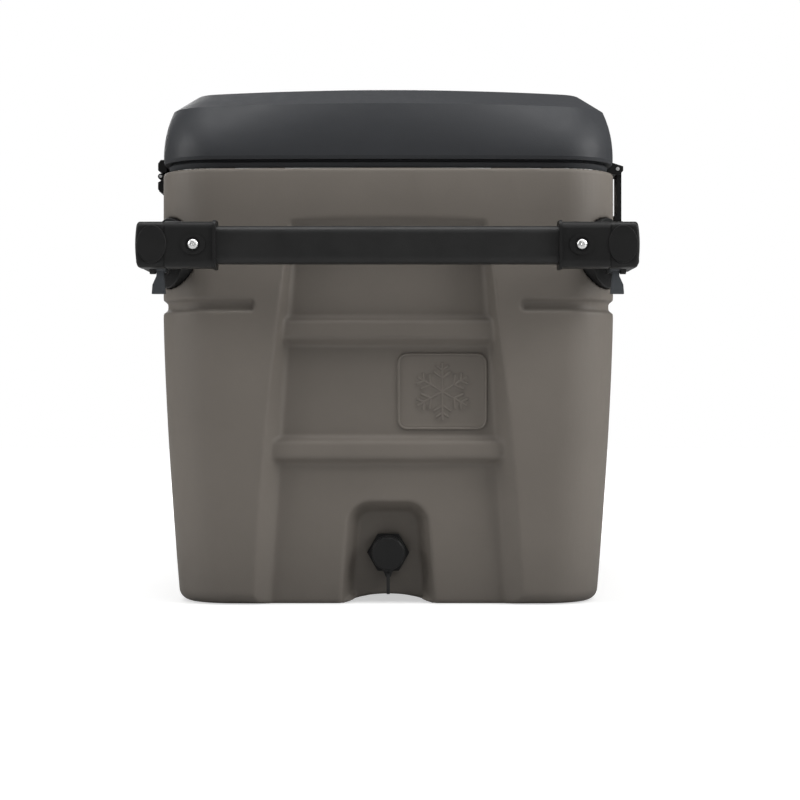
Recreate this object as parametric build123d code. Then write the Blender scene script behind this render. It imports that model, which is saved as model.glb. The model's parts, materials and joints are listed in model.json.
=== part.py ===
from build123d import *
import os
from math import cos, radians, sin, sqrt

# A wheeled, insulated cooler chest. Millimetres, +Z up, ground at z = 0.
# The drain end faces -Y, the lid hinges on the -X side and latches on the +X side.
# The origin is on the ground, at the centre of the overall footprint.

# --- Driving dimensions -----------------------------------------------------------------
BODY_HALF_W = 241.0  # widest half width, from the tie groove up to the rim
BODY_LENGTH = 680.0
RIM_Z = 456.0  # top of the tub, where the lid parts from it
LID_TOP_Z = 548.0
LID_GAP = 1.0  # air between rim and lid, bridged by the gasket
CORNER_R = 62.0  # plan radius of the four upright corners
END_BULGE = 8.0  # how far the middle of each end stands out past its corners
TAPER_Z = 300.0  # the walls lean inward below this height
SIDE_TAPER = 17.0
END_TAPER = 8.0
SHELL_T = 4.0
LID_SHELL_T = 3.5
LINER_T = 3.5
FIT_GAP = 0.2  # clearance between moulded layers

HANDLE_STANDOFF = 70.0  # handle tube axis ahead of the drain end
HANDLE_Z = 369.0
SLEEVE_HALF_D = 16.0  # half depth of the handle corner castings
SLEEVE_LIP = 1.5
RIVET_HEAD_H = 2.6
HANDLE_FRONT = HANDLE_STANDOFF + SLEEVE_HALF_D + RIVET_HEAD_H

BODY_HALF_L = BODY_LENGTH / 2
BODY_Y = HANDLE_FRONT / 2  # puts the origin at the centre of body plus handle
FRONT_Y = BODY_Y - BODY_HALF_L
REAR_Y = BODY_Y + BODY_HALF_L

# Drain-end recess
RECESS_DEPTH = 24.0
RECESS_SLOPE_Z = 404.0  # where the long slope at its top meets the end face
RECESS_FLOOR_TOP_Z = 367.0
RECESS_MOUTH_HALF_WS = (179.0, 99.0)  # at foot and top, this far ahead of the end face:
RECESS_MOUTH_AHEAD = 12.0
RECESS_FLOOR_HALF_WS = (126.5, 97.0)
RECESS_FOOT_Z, RECESS_CUT_TOP_Z = -40.0, 430.0
STEP_FACE_DEPTH = 14.0
# Heights of each step's upper crease, face top, face foot and lower crease
STEPS = ((302.0, 296.0, 279.0, 271.0), (176.0, 169.5, 153.5, 147.0))
STEP_REACH = 170.0
STEP_EDGE_R = 2.0
REAR_RECESS_DEPTH = 20.0
REAR_RECESS_HALF_WS = (136.0, 115.0)
REAR_RECESS_ZS = (142.0, 409.0)
GRIP_REACH, GRIP_DEPTH, GRIP_ZS = 72.0, 42.0, (338.0, 376.0)
GRIP_UNDERCUT_Z = 388.0
FOOT_LENGTH = 170.0  # the body rests on its drain end's foot, and on the wheels
DRAIN_Z = 52.5
DRAIN_WELL_DEPTH = 46.0
DRAIN_WELL_TOP_Z = 109.0
DRAIN_WELL_START = 14.0  # its mouth is laid out this far behind the end face
DRAIN_WELL_DRAFT = 30.0
DRAIN_WELL_MOUTH = (57.0, 47.0)  # half widths at foot and top
DRAIN_WELL_CORNER_R = 30.0
DRAIN_WELL_FOOT = (35.0, 12.0)  # half width and height of its straight foot
ARCH_HALF_SPAN, ARCH_RISE, ARCH_REACH = 45.0, 8.0, 90.0
BELOW = 8.0  # how far cutters reach past the ground

# Tie groove round the corners and sides
GROOVE_Z = 313.0
GROOVE_OUTER_H = 14.0
GROOVE_INNER_H = 8.0
GROOVE_DEPTH = 5.0
GROOVE_START_X = 139.0

# Shallow panels in the long sides
PANEL_FRONT, PANEL_REAR = 118.0, 150.0  # from the drain end and from the axle
PANEL_ZS = (52.0, 285.0)
PANEL_SLANT = 20.0  # how much further its rear edge reaches at the foot
PANEL_CORNER_R = 18.0
PANEL_DEPTH = 7.0

# Tub
TUB_TOP_HALF_W = 191.0
TUB_LOW_HALF_W = 178.0
TUB_FRONT_WALL = 78.0
TUB_REAR_WALL = 62.0
TUB_END_DRAFT = 7.0
TUB_FLOOR_Z = 41.0
TUB_CORNER_R = 40.0
SHELF_Z = 150.0
SUMP_R = 20.5  # trough in the floor where the drain enters
SUMP_LENGTH = 36.0

# Wheels
WHEEL_R = 105.0
WHEEL_Y = REAR_Y - WHEEL_R - 2.0
WHEEL_IN_X = 179.0
WHEEL_W = 50.0
WHEEL_OUT_X = WHEEL_IN_X + WHEEL_W
WELL_R = WHEEL_R + 12.0
WELL_WALL_X = 174.0
AXLE_R = 7.0
AXLE_SLOT_HALF = 16.0
SADDLE_X = 150.0
UNDERSIDE_Z = 10.0

# Handle and its pivots
HUB_TILT = 34.0  # the pivot housings sit square on the rounded corners, this far off the X axis
HUB_R = 37.0
HUB_SEAT = 12.0  # depth of the housing's seat in the corner
HUB_PROUD = 3.5
HUB_OUT_X = 242.5
END_ARC_R = (BODY_HALF_W**2 + END_BULGE**2) / (2 * END_BULGE)
CORNER_X = BODY_HALF_W - CORNER_R
CORNER_Y = FRONT_Y + END_ARC_R - sqrt((END_ARC_R - CORNER_R) ** 2 - CORNER_X**2)
HUB_X = CORNER_X + CORNER_R * cos(radians(HUB_TILT))
HUB_Y = CORNER_Y - CORNER_R * sin(radians(HUB_TILT))
TUBE_Y = FRONT_Y - HANDLE_STANDOFF
TUBE_HALF_D = 12.5
TUBE_HALF_H = 19.0
TUBE_WALL = 2.0
TUBE_END_X = 214.0
SLEEVE_IN_X = 171.0
SLEEVE_HALF_H = 23.0
CASTING_OUT_X = 254.0
LEG_IN_X = 222.0
LEG_HALF_H = 20.0
LEG_BACK_Y = HUB_Y - 80.0
ARM_IN_X = 245.6
ARM_OUT_X = 251.6
ARM_HALF_H = 13.0
ARM_SOCKET = 20.0
ARM_TAIL = 285.0
RIVET_X = 193.5
RIVET_R = 3.0
RIVET_HEAD_R = 5.2
STUB_R = 11.0
RUN_GAP = 0.06
LEVER_Y = HUB_Y - 43.0
LEVER_Z = 350.0

# Lid hardware
HARDWARE_OFFSET = 120.0  # latches and hinges, in from each end
HARDWARE_YS = (FRONT_Y + HARDWARE_OFFSET, REAR_Y - HARDWARE_OFFSET)
HINGE_X = -248.0
HINGE_Z = 457.5
KNUCKLE_R = 3.2
HINGE_PIN_R = 1.6
HINGE_HALF_L = 26.0
HINGE_OUT_X = -251.0
PLATE_IN_X = 241.3  # inner face of everything screwed to the side walls
LATCH_PIN_X = 250.0
LATCH_PIN_Z = 466.0
LATCH_PIN_R = 2.0
LATCH_EYE_R = 5.0
SCREW_R = 2.0
SCREW_HEAD_R = 3.6


# --- Helpers ----------------------------------------------------------------------------
def block(x0, x1, y0, y1, z0, z1):
    """Box between two corners."""
    centre = ((x0 + x1) / 2, (y0 + y1) / 2, (z0 + z1) / 2)
    return Pos(*centre) * Box(abs(x1 - x0), abs(y1 - y0), abs(z1 - z0))


def rod_x(radius, x0, x1, y, z):
    """Cylinder along X."""
    return Pos((x0 + x1) / 2, y, z) * Rot(0, 90, 0) * Cylinder(radius, abs(x1 - x0))


def rod_y(radius, y0, y1, x, z):
    """Cylinder along Y."""
    return Pos(x, (y0 + y1) / 2, z) * Rot(90, 0, 0) * Cylinder(radius, abs(y1 - y0))


def prism_x(points, x0, x1):
    """Polygon of (y, z) points, extruded along X."""
    plane = Plane(origin=(x0, 0, 0), x_dir=(0, 1, 0), z_dir=(1, 0, 0))
    return extrude(plane * make_face(Polyline(*points, close=True)), amount=x1 - x0)


def prism_y(points, y0, y1):
    """Polygon of (x, z) points, extruded along Y."""
    plane = Plane(origin=(0, y1, 0), x_dir=(1, 0, 0), z_dir=(0, -1, 0))
    return extrude(plane * make_face(Polyline(*points, close=True)), amount=y1 - y0)


def round_block(x0, x1, y0, y1, z0, z1, radius, axis):
    """Box with the edges along one axis rounded."""
    solid = block(x0, x1, y0, y1, z0, z1)
    return fillet(solid.edges().filter_by(axis), radius)


def left_of(shape):
    """The same piece on the -X side."""
    return mirror(shape, about=Plane.YZ)


def both(shape):
    """A piece with its mirror image, as two separate solids."""
    return group(shape, left_of(shape))


def group(*shapes):
    """Separate solids kept together in one node."""
    return Compound([solid for shape in shapes for solid in shape.solids()])


def save(name, shape):
    export_step(shape, f"parts/{name}.step")


# --- Body envelope ------------------------------------------------------------------------
def plan_face(half_w, half_l, corner_r, bulge, z):
    """Plan outline: straight sides, gently bowed ends and round corners."""
    shoulder = half_l - bulge
    outline = Curve() + [
        Line((half_w, -shoulder), (half_w, shoulder)),
        ThreePointArc((half_w, shoulder), (0, half_l), (-half_w, shoulder)),
        Line((-half_w, shoulder), (-half_w, -shoulder)),
        ThreePointArc((-half_w, -shoulder), (0, -half_l), (half_w, -shoulder)),
    ]
    face = make_face(outline)
    return Pos(0, BODY_Y, z) * fillet(face.vertices(), corner_r)


def lean(z):
    """Share of the full wall taper reached at height z."""
    return (max(0.0, TAPER_Z - z) / TAPER_Z) ** 1.4


def body_plan(inset, z):
    half_w = BODY_HALF_W - SIDE_TAPER * lean(z) - inset
    half_l = BODY_HALF_L - END_TAPER * lean(z) - inset
    return plan_face(half_w, half_l, CORNER_R - inset, END_BULGE, z)


def envelope(inset, z0, z1):
    """The body without features, its walls moved inward by inset."""
    lower_zs = (z0, TAPER_Z / 3, 2 * TAPER_Z / 3, TAPER_Z)
    lower = loft([body_plan(inset, z) for z in lower_zs])
    upper = loft([body_plan(inset, TAPER_Z), body_plan(inset, z1)], ruled=True)
    return lower + upper


# --- Features cut into the body, each able to grow for the layers behind it ----------------
def end_section(depth, low_half_w, top_half_w, low_z, top_z):
    """Trapezoid square to the Y axis, at a depth behind the drain end's face."""
    plane = Plane(origin=(0, FRONT_Y + depth, 0), x_dir=(1, 0, 0), z_dir=(0, -1, 0))
    points = [
        (-low_half_w, low_z),
        (low_half_w, low_z),
        (top_half_w, top_z),
        (-top_half_w, top_z),
    ]
    return plane * make_face(Polyline(*points, close=True))


def end_recess(grow):
    """Recess in the drain end, with wide flanks and a long slope at its top."""
    flank_share, slope_share, corner_r = 1.15, 1.5, 7.0
    spread = flank_share * grow
    mouth = [half_w + spread for half_w in RECESS_MOUTH_HALF_WS]
    floor = [half_w + spread for half_w in RECESS_FLOOR_HALF_WS]
    zs = (RECESS_FOOT_Z, RECESS_CUT_TOP_Z)
    recess = loft(
        [
            end_section(-RECESS_MOUTH_AHEAD, *mouth, *zs),
            end_section(RECESS_DEPTH + grow, *floor, *zs),
        ],
        ruled=True,
    )
    run = RECESS_SLOPE_Z - RECESS_FLOOR_TOP_Z
    rise_z = RECESS_SLOPE_Z + run + slope_share * grow
    far_z = RECESS_FLOOR_TOP_Z - run + slope_share * grow
    slope = [
        (FRONT_Y - RECESS_DEPTH, rise_z),
        (FRONT_Y + 2 * RECESS_DEPTH, far_z),
        (FRONT_Y + 2 * RECESS_DEPTH, LID_TOP_Z),
        (FRONT_Y - RECESS_DEPTH, LID_TOP_Z),
    ]
    recess = recess - prism_x(slope, -BODY_HALF_W, BODY_HALF_W)
    floor_edges = recess.faces().sort_by(Axis.Y)[-1].edges().sort_by(Axis.Z)[1:]
    return fillet(floor_edges, corner_r)


def end_steps():
    """The two horizontal steps that cross the recess."""
    floor_y = FRONT_Y + RECESS_DEPTH
    face_y = FRONT_Y + STEP_FACE_DEPTH
    steps = []
    for crease_z, top_z, low_z, foot_z in STEPS:
        points = [
            (floor_y + 1, crease_z),
            (floor_y, crease_z),
            (face_y, top_z),
            (face_y, low_z),
            (floor_y, foot_z),
            (floor_y + 1, foot_z),
        ]
        step = prism_x(points, -STEP_REACH, STEP_REACH)
        front = step.faces().sort_by(Axis.Y)[0]
        steps.append(fillet(front.edges().filter_by(Axis.X), STEP_EDGE_R))
    return steps


def drain_well(grow):
    """Arched pocket round the drain."""
    low_half_w, top_half_w = (half_w + grow for half_w in DRAIN_WELL_MOUTH)
    crown_z = DRAIN_WELL_TOP_Z + 5 + grow
    points = [
        (-low_half_w, -BELOW),
        (low_half_w, -BELOW),
        (top_half_w, crown_z),
        (-top_half_w, crown_z),
    ]
    face = make_face(Polyline(*points, close=True))
    face = fillet(face.vertices().sort_by(Axis.Y)[-2:], DRAIN_WELL_CORNER_R)
    start_y = FRONT_Y + DRAIN_WELL_START
    floor_y = FRONT_Y + DRAIN_WELL_DEPTH + grow
    plane = Plane(origin=(0, start_y, 0), x_dir=(1, 0, 0), z_dir=(0, -1, 0))
    well = extrude(plane * face, amount=start_y - floor_y, taper=DRAIN_WELL_DRAFT)
    foot_half_w, foot_z = (size + grow for size in DRAIN_WELL_FOOT)
    return well + block(-foot_half_w, foot_half_w, FRONT_Y, floor_y, -BELOW, foot_z)


def bottom_arch(grow):
    """Shallow arch under the drain, so that water runs clear."""
    radius = (ARCH_HALF_SPAN**2 + ARCH_RISE**2) / (2 * ARCH_RISE)
    y0, y1 = FRONT_Y - BELOW, FRONT_Y + ARCH_REACH + grow
    return rod_y(radius + grow, y0, y1, 0, ARCH_RISE - radius)


def tie_groove(grow):
    """Groove round the corners and long sides."""
    half_out, half_in = GROOVE_OUTER_H / 2 + grow, GROOVE_INNER_H / 2 + grow
    z0, z1 = GROOVE_Z - half_out, GROOVE_Z + half_out
    i0, i1 = GROOVE_Z - half_in, GROOVE_Z + half_in
    depth = GROOVE_DEPTH + grow
    core = loft(
        [body_plan(inset, z) for inset, z in ((0, z0), (depth, i0), (depth, i1), (0, z1))],
        ruled=True,
    )
    ring = extrude(body_plan(-GROOVE_DEPTH, z0), amount=z1 - z0) - core
    reach = GROOVE_START_X - grow
    return ring - block(-reach, reach, -BODY_LENGTH, BODY_LENGTH, z0 - 1, z1 + 1)


def side_panel(grow):
    """Shallow panel in the right long side, following the wall."""
    y0, y1 = FRONT_Y + PANEL_FRONT - grow, WHEEL_Y - PANEL_REAR + grow
    low_z, top_z = PANEL_ZS[0] - grow, PANEL_ZS[1] + grow
    points = [(y0, low_z), (y1 + PANEL_SLANT, low_z), (y1, top_z), (y0, top_z)]
    plane = Plane(origin=(BODY_HALF_W + SHELL_T, 0, 0), x_dir=(0, 1, 0), z_dir=(1, 0, 0))
    face = fillet(make_face(Polyline(*points, close=True)).vertices(), PANEL_CORNER_R)
    region = extrude(plane * face, amount=-60, taper=8)
    return region - envelope(PANEL_DEPTH + grow, 0, RIM_Z)


def wheel_well(grow):
    return rod_x(WELL_R + grow, WELL_WALL_X - grow, 300, WHEEL_Y, WHEEL_R)


def rear_round(grow):
    """Everything below and behind the axle that lies outside the wheels' sweep."""
    corner = block(-300, 300, WHEEL_Y, REAR_Y + 20, -20, WHEEL_R)
    return corner - rod_x(WHEEL_R - 9 - grow, -300, 300, WHEEL_Y, WHEEL_R)


def axle_slot(grow):
    half = AXLE_SLOT_HALF + grow
    slot = block(-SADDLE_X - grow, SADDLE_X + grow, WHEEL_Y - half, WHEEL_Y + half, -5, WHEEL_R)
    crown = rod_x(half, -SADDLE_X - grow, SADDLE_X + grow, WHEEL_Y, WHEEL_R)
    bore = rod_x(AXLE_R + RUN_GAP + grow, -WELL_WALL_X - 5, WELL_WALL_X + 5, WHEEL_Y, WHEEL_R)
    return slot + crown + bore


def hub_disc(radius, back, front):
    """Disc square to the right rounded corner, between two depths from its surface."""
    normal = (cos(radians(HUB_TILT)), -sin(radians(HUB_TILT)), 0)
    seat = Plane(origin=(HUB_X, HUB_Y, HANDLE_Z), x_dir=(0, 0, 1), z_dir=normal)
    return extrude(seat.offset(back) * Circle(radius), amount=front - back)


def hub_pocket(grow):
    return hub_disc(HUB_R + FIT_GAP + grow, -HUB_SEAT - FIT_GAP - grow, 60)


def rear_recess(grow):
    """Recess in the wheel end, above the wheels."""
    ahead, draft = 12.0, 14.0
    low_half_w, top_half_w = (half_w + grow for half_w in REAR_RECESS_HALF_WS)
    low_z, top_z = REAR_RECESS_ZS[0] - grow, REAR_RECESS_ZS[1] + grow
    points = [
        (-low_half_w, low_z),
        (low_half_w, low_z),
        (top_half_w, top_z),
        (-top_half_w, top_z),
    ]
    plane = Plane(origin=(0, REAR_Y + ahead, 0), x_dir=(1, 0, 0), z_dir=(0, -1, 0))
    face = make_face(Polyline(*points, close=True))
    return extrude(plane * face, amount=ahead + REAR_RECESS_DEPTH + grow, taper=draft)


def rear_grip(grow):
    """Finger pocket with an undercut, moulded into the wheel end."""
    reach = GRIP_REACH + grow
    back_y = REAR_Y - GRIP_DEPTH - grow
    low_z, top_z = GRIP_ZS[0] - grow, GRIP_ZS[1] + grow
    corner_r = 8
    pocket = round_block(-reach, reach, back_y, REAR_Y + 10, low_z, top_z, corner_r, Axis.Y)
    half = reach - corner_r
    lip_y = REAR_Y - GRIP_DEPTH + 15 + grow
    undercut = block(-half, half, back_y, lip_y, GRIP_ZS[1] - 6, GRIP_UNDERCUT_Z + grow)
    return pocket + undercut


def underside(grow):
    """Lifts the floor behind the front foot, and hollows the foot."""
    behind_y = FRONT_Y + FOOT_LENGTH
    ramp, hollow_half_w, hollow_z = 12, 122, 8
    points = [
        (behind_y - grow, -BELOW),
        (behind_y + ramp - grow, UNDERSIDE_Z + grow),
        (REAR_Y, UNDERSIDE_Z + grow),
        (REAR_Y, -BELOW),
    ]
    hollow_y = (FRONT_Y + 70, behind_y + 5)
    hollow = block(-hollow_half_w, hollow_half_w, *hollow_y, -BELOW, hollow_z + grow)
    return prism_x(points, -BODY_HALF_W - BELOW, BODY_HALF_W + BELOW) + hollow


def cut_features(solid, grow):
    """Cuts every moulded feature of the body from a solid."""
    steps = end_steps() if grow == 0 else []
    recess = end_recess(grow)
    for step in steps:
        recess = recess - step
    solid = solid - recess
    for well in (wheel_well(grow), hub_pocket(grow), side_panel(grow)):
        solid = solid - well - left_of(well)
    for feature in (
        drain_well(grow),
        rear_round(grow),
        rear_recess(grow),
        rear_grip(grow),
        underside(grow),
        axle_slot(grow),
        bottom_arch(grow),
        tie_groove(grow),
    ):
        solid = solid - feature
    return solid


# --- Emblem -------------------------------------------------------------------------------
def snowflake():
    """A plain six-armed snowflake, standing proud of the recess floor."""
    centre_x, centre_z = 57.0, 222.0
    arm, bar, relief = 30.0, 1.7, 1.3
    floor_y = FRONT_Y + RECESS_DEPTH
    pieces = []
    for i in range(6):
        turn = Pos(centre_x, floor_y - relief / 2 + 0.25, centre_z) * Rot(0, 60 * i, 0)
        depth = relief + 0.5
        pieces.append(turn * Pos(0, 0, arm / 2) * Box(2 * bar, depth, arm))
        for at, branch in ((0.5, 10.0), (0.78, 7.5)):
            for side in (-1, 1):
                place = Pos(0, 0, arm * at) * Rot(0, side * 55, 0) * Pos(0, 0, branch / 2)
                pieces.append(turn * place * Box(2 * bar * 0.8, depth, branch))
    flake = pieces[0]
    for piece in pieces[1:]:
        flake = flake + piece
    frame_y = floor_y - 0.7
    frame = round_block(10, 104, frame_y, floor_y + 0.5, 184, 262, 8, Axis.Y)
    inner = round_block(12.5, 101.5, frame_y - 1, floor_y + 1, 186.5, 259.5, 6, Axis.Y)
    return flake + (frame - inner)


# --- Tub ------------------------------------------------------------------------------------
def tub_space(grow, top_z=RIM_Z):
    """The cold space; grow makes the liner's outside."""
    front0 = FRONT_Y + TUB_FRONT_WALL + TUB_END_DRAFT - grow
    front1 = FRONT_Y + TUB_FRONT_WALL - grow
    rear0 = REAR_Y - TUB_REAR_WALL - TUB_END_DRAFT + grow
    rear1 = REAR_Y - TUB_REAR_WALL + grow
    levels = (
        (TUB_FLOOR_Z - grow, TUB_LOW_HALF_W + grow, front0, rear0),
        (RIM_Z, TUB_TOP_HALF_W + grow, front1, rear1),
    )
    sections = []
    for z, half_w, y0, y1 in levels:
        outline = RectangleRounded(2 * half_w, y1 - y0, TUB_CORNER_R + grow)
        sections.append(Pos(0, (y0 + y1) / 2, z) * outline)
    space = loft(sections, ruled=True)
    space = fillet(space.edges().group_by(Axis.Z)[0], 14 + grow)
    shelf = block(
        -250, 250, WHEEL_Y - 46 + grow, REAR_Y, TUB_FLOOR_Z - 20, SHELF_Z - grow
    )
    hump = rod_x(WELL_R + 26 - grow, WELL_WALL_X - 26 + grow, 250, WHEEL_Y, WHEEL_R)
    space = space - shelf - hump - left_of(hump)
    space = space + rod_y(SUMP_R + grow, front0, front0 + SUMP_LENGTH + 2 * grow, 0, DRAIN_Z)
    if top_z > RIM_Z:
        mouth = RectangleRounded(2 * (TUB_TOP_HALF_W + grow), rear1 - front1, TUB_CORNER_R + grow)
        place = Pos(0, (front1 + rear1) / 2, RIM_Z)
        space = space + extrude(place * mouth, amount=top_z - RIM_Z)
    return space


def make_outer_shell():
    outer = envelope(0, 0, RIM_Z)
    outer = fillet(outer.edges().group_by(Axis.Z)[-1], 3.5)
    outer = fillet(outer.edges().group_by(Axis.Z)[0], 13)
    outer = cut_features(outer, 0)
    inner = cut_features(envelope(SHELL_T, SHELL_T, RIM_Z + 10), SHELL_T)
    shell = outer - inner + snowflake() - drain_bore()
    for hole in screw_holes():
        shell = shell - hole
    return shell


def screw_holes():
    """Pilot holes in the shell for every screw that enters it."""
    pilot = SCREW_R + 0.1
    holes = []
    for y in HARDWARE_YS:
        for _, screw_y, z in leaf_screws(y, False):
            holes.append(rod_x(pilot, -PLATE_IN_X, -PLATE_IN_X + 8, screw_y, z))
        for screw_y, z in keeper_screws(y):
            holes.append(rod_x(pilot, PLATE_IN_X - 8, PLATE_IN_X, screw_y, z))
    for angle in HUB_SCREW_ANGLES:
        hole = hub_screw_rod(pilot, angle, -HUB_SEAT - 6, -HUB_SEAT + 1)
        holes += [hole, left_of(hole)]
    return holes


def drain_bore():
    return rod_y(DRAIN_TUBE_R + FIT_GAP, FRONT_Y + 20, FRONT_Y + 140, 0, DRAIN_Z)


def make_foam():
    gap = SHELL_T + FIT_GAP
    foam = cut_features(envelope(gap, gap, RIM_Z - LINER_T - FIT_GAP), gap)
    return foam - tub_space(LINER_T + FIT_GAP, RIM_Z + 5) - drain_bore()


def make_liner():
    flange_z = RIM_Z - LINER_T
    flange = extrude(body_plan(SHELL_T + FIT_GAP, flange_z), amount=LINER_T)
    cavity = tub_space(0, RIM_Z + 5)
    liner = tub_space(LINER_T) + flange - cavity
    mouth = [
        edge
        for edge in liner.edges().group_by(Axis.Z)[-1]
        if abs(edge.center().X) < TUB_TOP_HALF_W + 1
        and FRONT_Y + 60 < edge.center().Y < REAR_Y - 50
    ]
    liner = fillet(mouth, 2.5)
    return liner - drain_bore()


# --- Lid ------------------------------------------------------------------------------------
LID_BOTTOM_Z = RIM_Z + LID_GAP
LID_FOOT_IN = 16.0  # inner edge of the shell's thick foot
# Each level's height and inset, from the foot past the shadow groove to the wall
LID_LIP = (
    (LID_BOTTOM_Z, 7.5),
    (462.0, 6.0),
    (462.3, 9.0),
    (464.6, 9.0),
    (465.0, 1.6),
    (468.5, 0.4),
)
# Each level's height, inset and bow of the ends: the wall rolls in and its ends grow rounder
LID_WALL = (
    (468.5, 0.4, END_BULGE),
    (485.0, 0.6, 13.0),
    (503.0, 2.8, 24.0),
    (524.0, 8.5, 40.0),
)
# Height, side inset, end inset and bow: where the bevel turns to the roof, and the roof's edge
LID_BEVEL = (543.5, 34.0, 46.0, 36.0)
LID_ROOF = (LID_TOP_Z, 66.0, 72.0, 32.0)


def lid_plan(side, end, z, bulge=END_BULGE):
    radius = CORNER_R - min(side, 48)
    return plan_face(BODY_HALF_W - side, BODY_HALF_L - end, radius, bulge, z)


def lid_body(shrink, bottom_z):
    """The lid's outline as a solid, its skin moved in by shrink."""
    lip = [(bottom_z, LID_LIP[0][1]), *LID_LIP[1:]]
    lip = [lid_plan(inset + shrink, inset + shrink, z) for z, inset in lip]
    wall = [
        lid_plan(inset + shrink, inset + shrink, z, bulge) for z, inset, bulge in LID_WALL
    ]
    turn_z, turn_side, turn_end, turn_bulge = LID_BEVEL
    roof_z, roof_side, roof_end, roof_bulge = LID_ROOF
    bevel = [
        wall[-1],
        lid_plan(turn_side + shrink, turn_end + shrink, turn_z - 0.7 * shrink, turn_bulge),
        lid_plan(roof_side + shrink, roof_end + shrink, roof_z - shrink, roof_bulge),
    ]
    return loft(lip, ruled=True) + loft(wall) + loft(bevel, ruled=True)


def make_lid_skin():
    solid = lid_body(0, LID_BOTTOM_Z)
    turn = [e for e in solid.edges() if abs(e.center().Z - LID_BEVEL[0]) < 0.01]
    solid = fillet(turn, 6)
    top_panel = Pos(0, BODY_Y, LID_TOP_Z - 2.5) * RectangleRounded(270, 430, 26)
    solid = solid - extrude(top_panel, amount=10, taper=-30)
    shell = solid - lid_body(LID_SHELL_T, LID_BOTTOM_Z - 5)
    foot_out = LID_LIP[0][1] + LID_SHELL_T / 2
    foot = extrude(lid_plan(foot_out, foot_out, LID_BOTTOM_Z), amount=LINER_T)
    hole = extrude(lid_plan(LID_FOOT_IN, LID_FOOT_IN, LID_BOTTOM_Z), amount=LINER_T)
    return shell + (foot - hole)


def make_lid_filling():
    solid = lid_body(LID_SHELL_T + FIT_GAP, LID_BOTTOM_Z + LINER_T + FIT_GAP)
    return solid - gasket_ring(1.2, 0)


PLUG_DEPTH = 14.0
PLUG_GAP = 3.0
GASKET_INSET = 22.0
GASKET_W = 9.0


def plug_outline(shrink, z):
    half_w = TUB_TOP_HALF_W - PLUG_GAP - shrink
    y0 = FRONT_Y + TUB_FRONT_WALL + PLUG_GAP + shrink
    y1 = REAR_Y - TUB_REAR_WALL - PLUG_GAP - shrink
    outline = RectangleRounded(2 * half_w, y1 - y0, TUB_CORNER_R - PLUG_GAP - shrink)
    return Pos(0, (y0 + y1) / 2, z) * outline


def make_lid_liner():
    """Inner skin of the lid: a flange with a shallow plug that drops into the tub."""
    z0 = LID_BOTTOM_Z
    flange_inset = LID_FOOT_IN + FIT_GAP
    flange = extrude(lid_plan(flange_inset, flange_inset, z0), amount=LINER_T)
    plug = extrude(plug_outline(0, z0 + LINER_T), amount=-PLUG_DEPTH - LINER_T, taper=6)
    plug = fillet(plug.edges().group_by(Axis.Z)[0], 6)
    hollow = extrude(plug_outline(3, z0 + LINER_T + 1), amount=-PLUG_DEPTH - 1, taper=6)
    rib_gap = 92
    liner = flange + plug - hollow
    for i in range(-2, 3):
        groove_y = BODY_Y + i * rib_gap
        groove = round_block(
            -140, 140, groove_y - 9, groove_y + 9, z0 - 30, z0 - PLUG_DEPTH + 1.2, 8, Axis.Z
        )
        liner = liner - groove
    return liner - gasket_ring(0.1, 0)


def gasket_ring(grow, compressed):
    """Ring round the mouth; the lid liner's groove is the same ring, grown."""
    z0 = RIM_Z + 0.05 + compressed
    height = 3.0 + grow
    outer = body_plan(GASKET_INSET - grow, z0)
    inner = body_plan(GASKET_INSET + GASKET_W + grow, z0)
    return extrude(outer, amount=height) - extrude(inner, amount=height)


def make_lid_shell():
    shell = make_lid_skin()
    for y in HARDWARE_YS:
        shell = shell - latch_notch(y, 0)
        for _, screw_y, z in leaf_screws(y, True):
            shell = shell - rod_x(SCREW_R + 0.1, -PLATE_IN_X, -PLATE_IN_X + 8, screw_y, z)
    return shell


def make_lid_foam():
    foam = make_lid_filling()
    for y in HARDWARE_YS:
        foam = foam - latch_notch(y, 1)
    return foam


def latch_notch(y, grow):
    """Seat for a latch bracket in the lid's lower edge."""
    half_l = BRACKET_HALF_L + 0.3 + grow
    return block(
        BRACKET_IN_X - 0.3 - grow, 260, y - half_l, y + half_l,
        LID_BOTTOM_Z - 5, LATCH_PIN_Z + BRACKET_UP + 0.3 + grow,
    )


# --- Hinges -----------------------------------------------------------------------------------
def knuckle(y, slot, count=5):
    """One barrel of a hinge; slots are numbered along its length."""
    pitch = 2 * HINGE_HALF_L / count
    y0 = y - HINGE_HALF_L + slot * pitch + 0.2
    return rod_y(KNUCKLE_R, y0, y0 + pitch - 0.4, HINGE_X, HINGE_Z), y0, y0 + pitch - 0.4


def hinge_leaf(y, upward):
    """A leaf with its barrels: upward for the lid's, otherwise the body's."""
    sign = 1 if upward else -1
    near, far = HINGE_Z + sign * 4.2, HINGE_Z + sign * 18
    bevel = HINGE_Z + sign * 6.5
    points = [
        (-PLATE_IN_X, near),
        (HINGE_X + 1.2, near),
        (HINGE_OUT_X, bevel),
        (HINGE_OUT_X, far - sign * 4),
        (HINGE_OUT_X + 3, far),
        (-PLATE_IN_X, far),
    ]
    leaf = prism_y(points, y - HINGE_HALF_L, y + HINGE_HALF_L)
    for slot in (1, 3) if upward else (0, 2, 4):
        barrel, y0, y1 = knuckle(y, slot)
        web = block(HINGE_X, -PLATE_IN_X - 2.5, y0, y1, HINGE_Z, HINGE_Z + sign * 5)
        leaf = leaf + barrel + web
    leaf = leaf - rod_y(HINGE_PIN_R + RUN_GAP, y - 40, y + 40, HINGE_X, HINGE_Z)
    for x, screw_y, z in leaf_screws(y, upward):
        hole = rod_x(SCREW_R + 0.1, x - 20, x + 20, screw_y, z)
        sink = rod_x(SCREW_HEAD_R + 0.1, x - 20, HINGE_OUT_X + 2.2, screw_y, z)
        leaf = leaf - hole - sink
    return leaf


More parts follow.
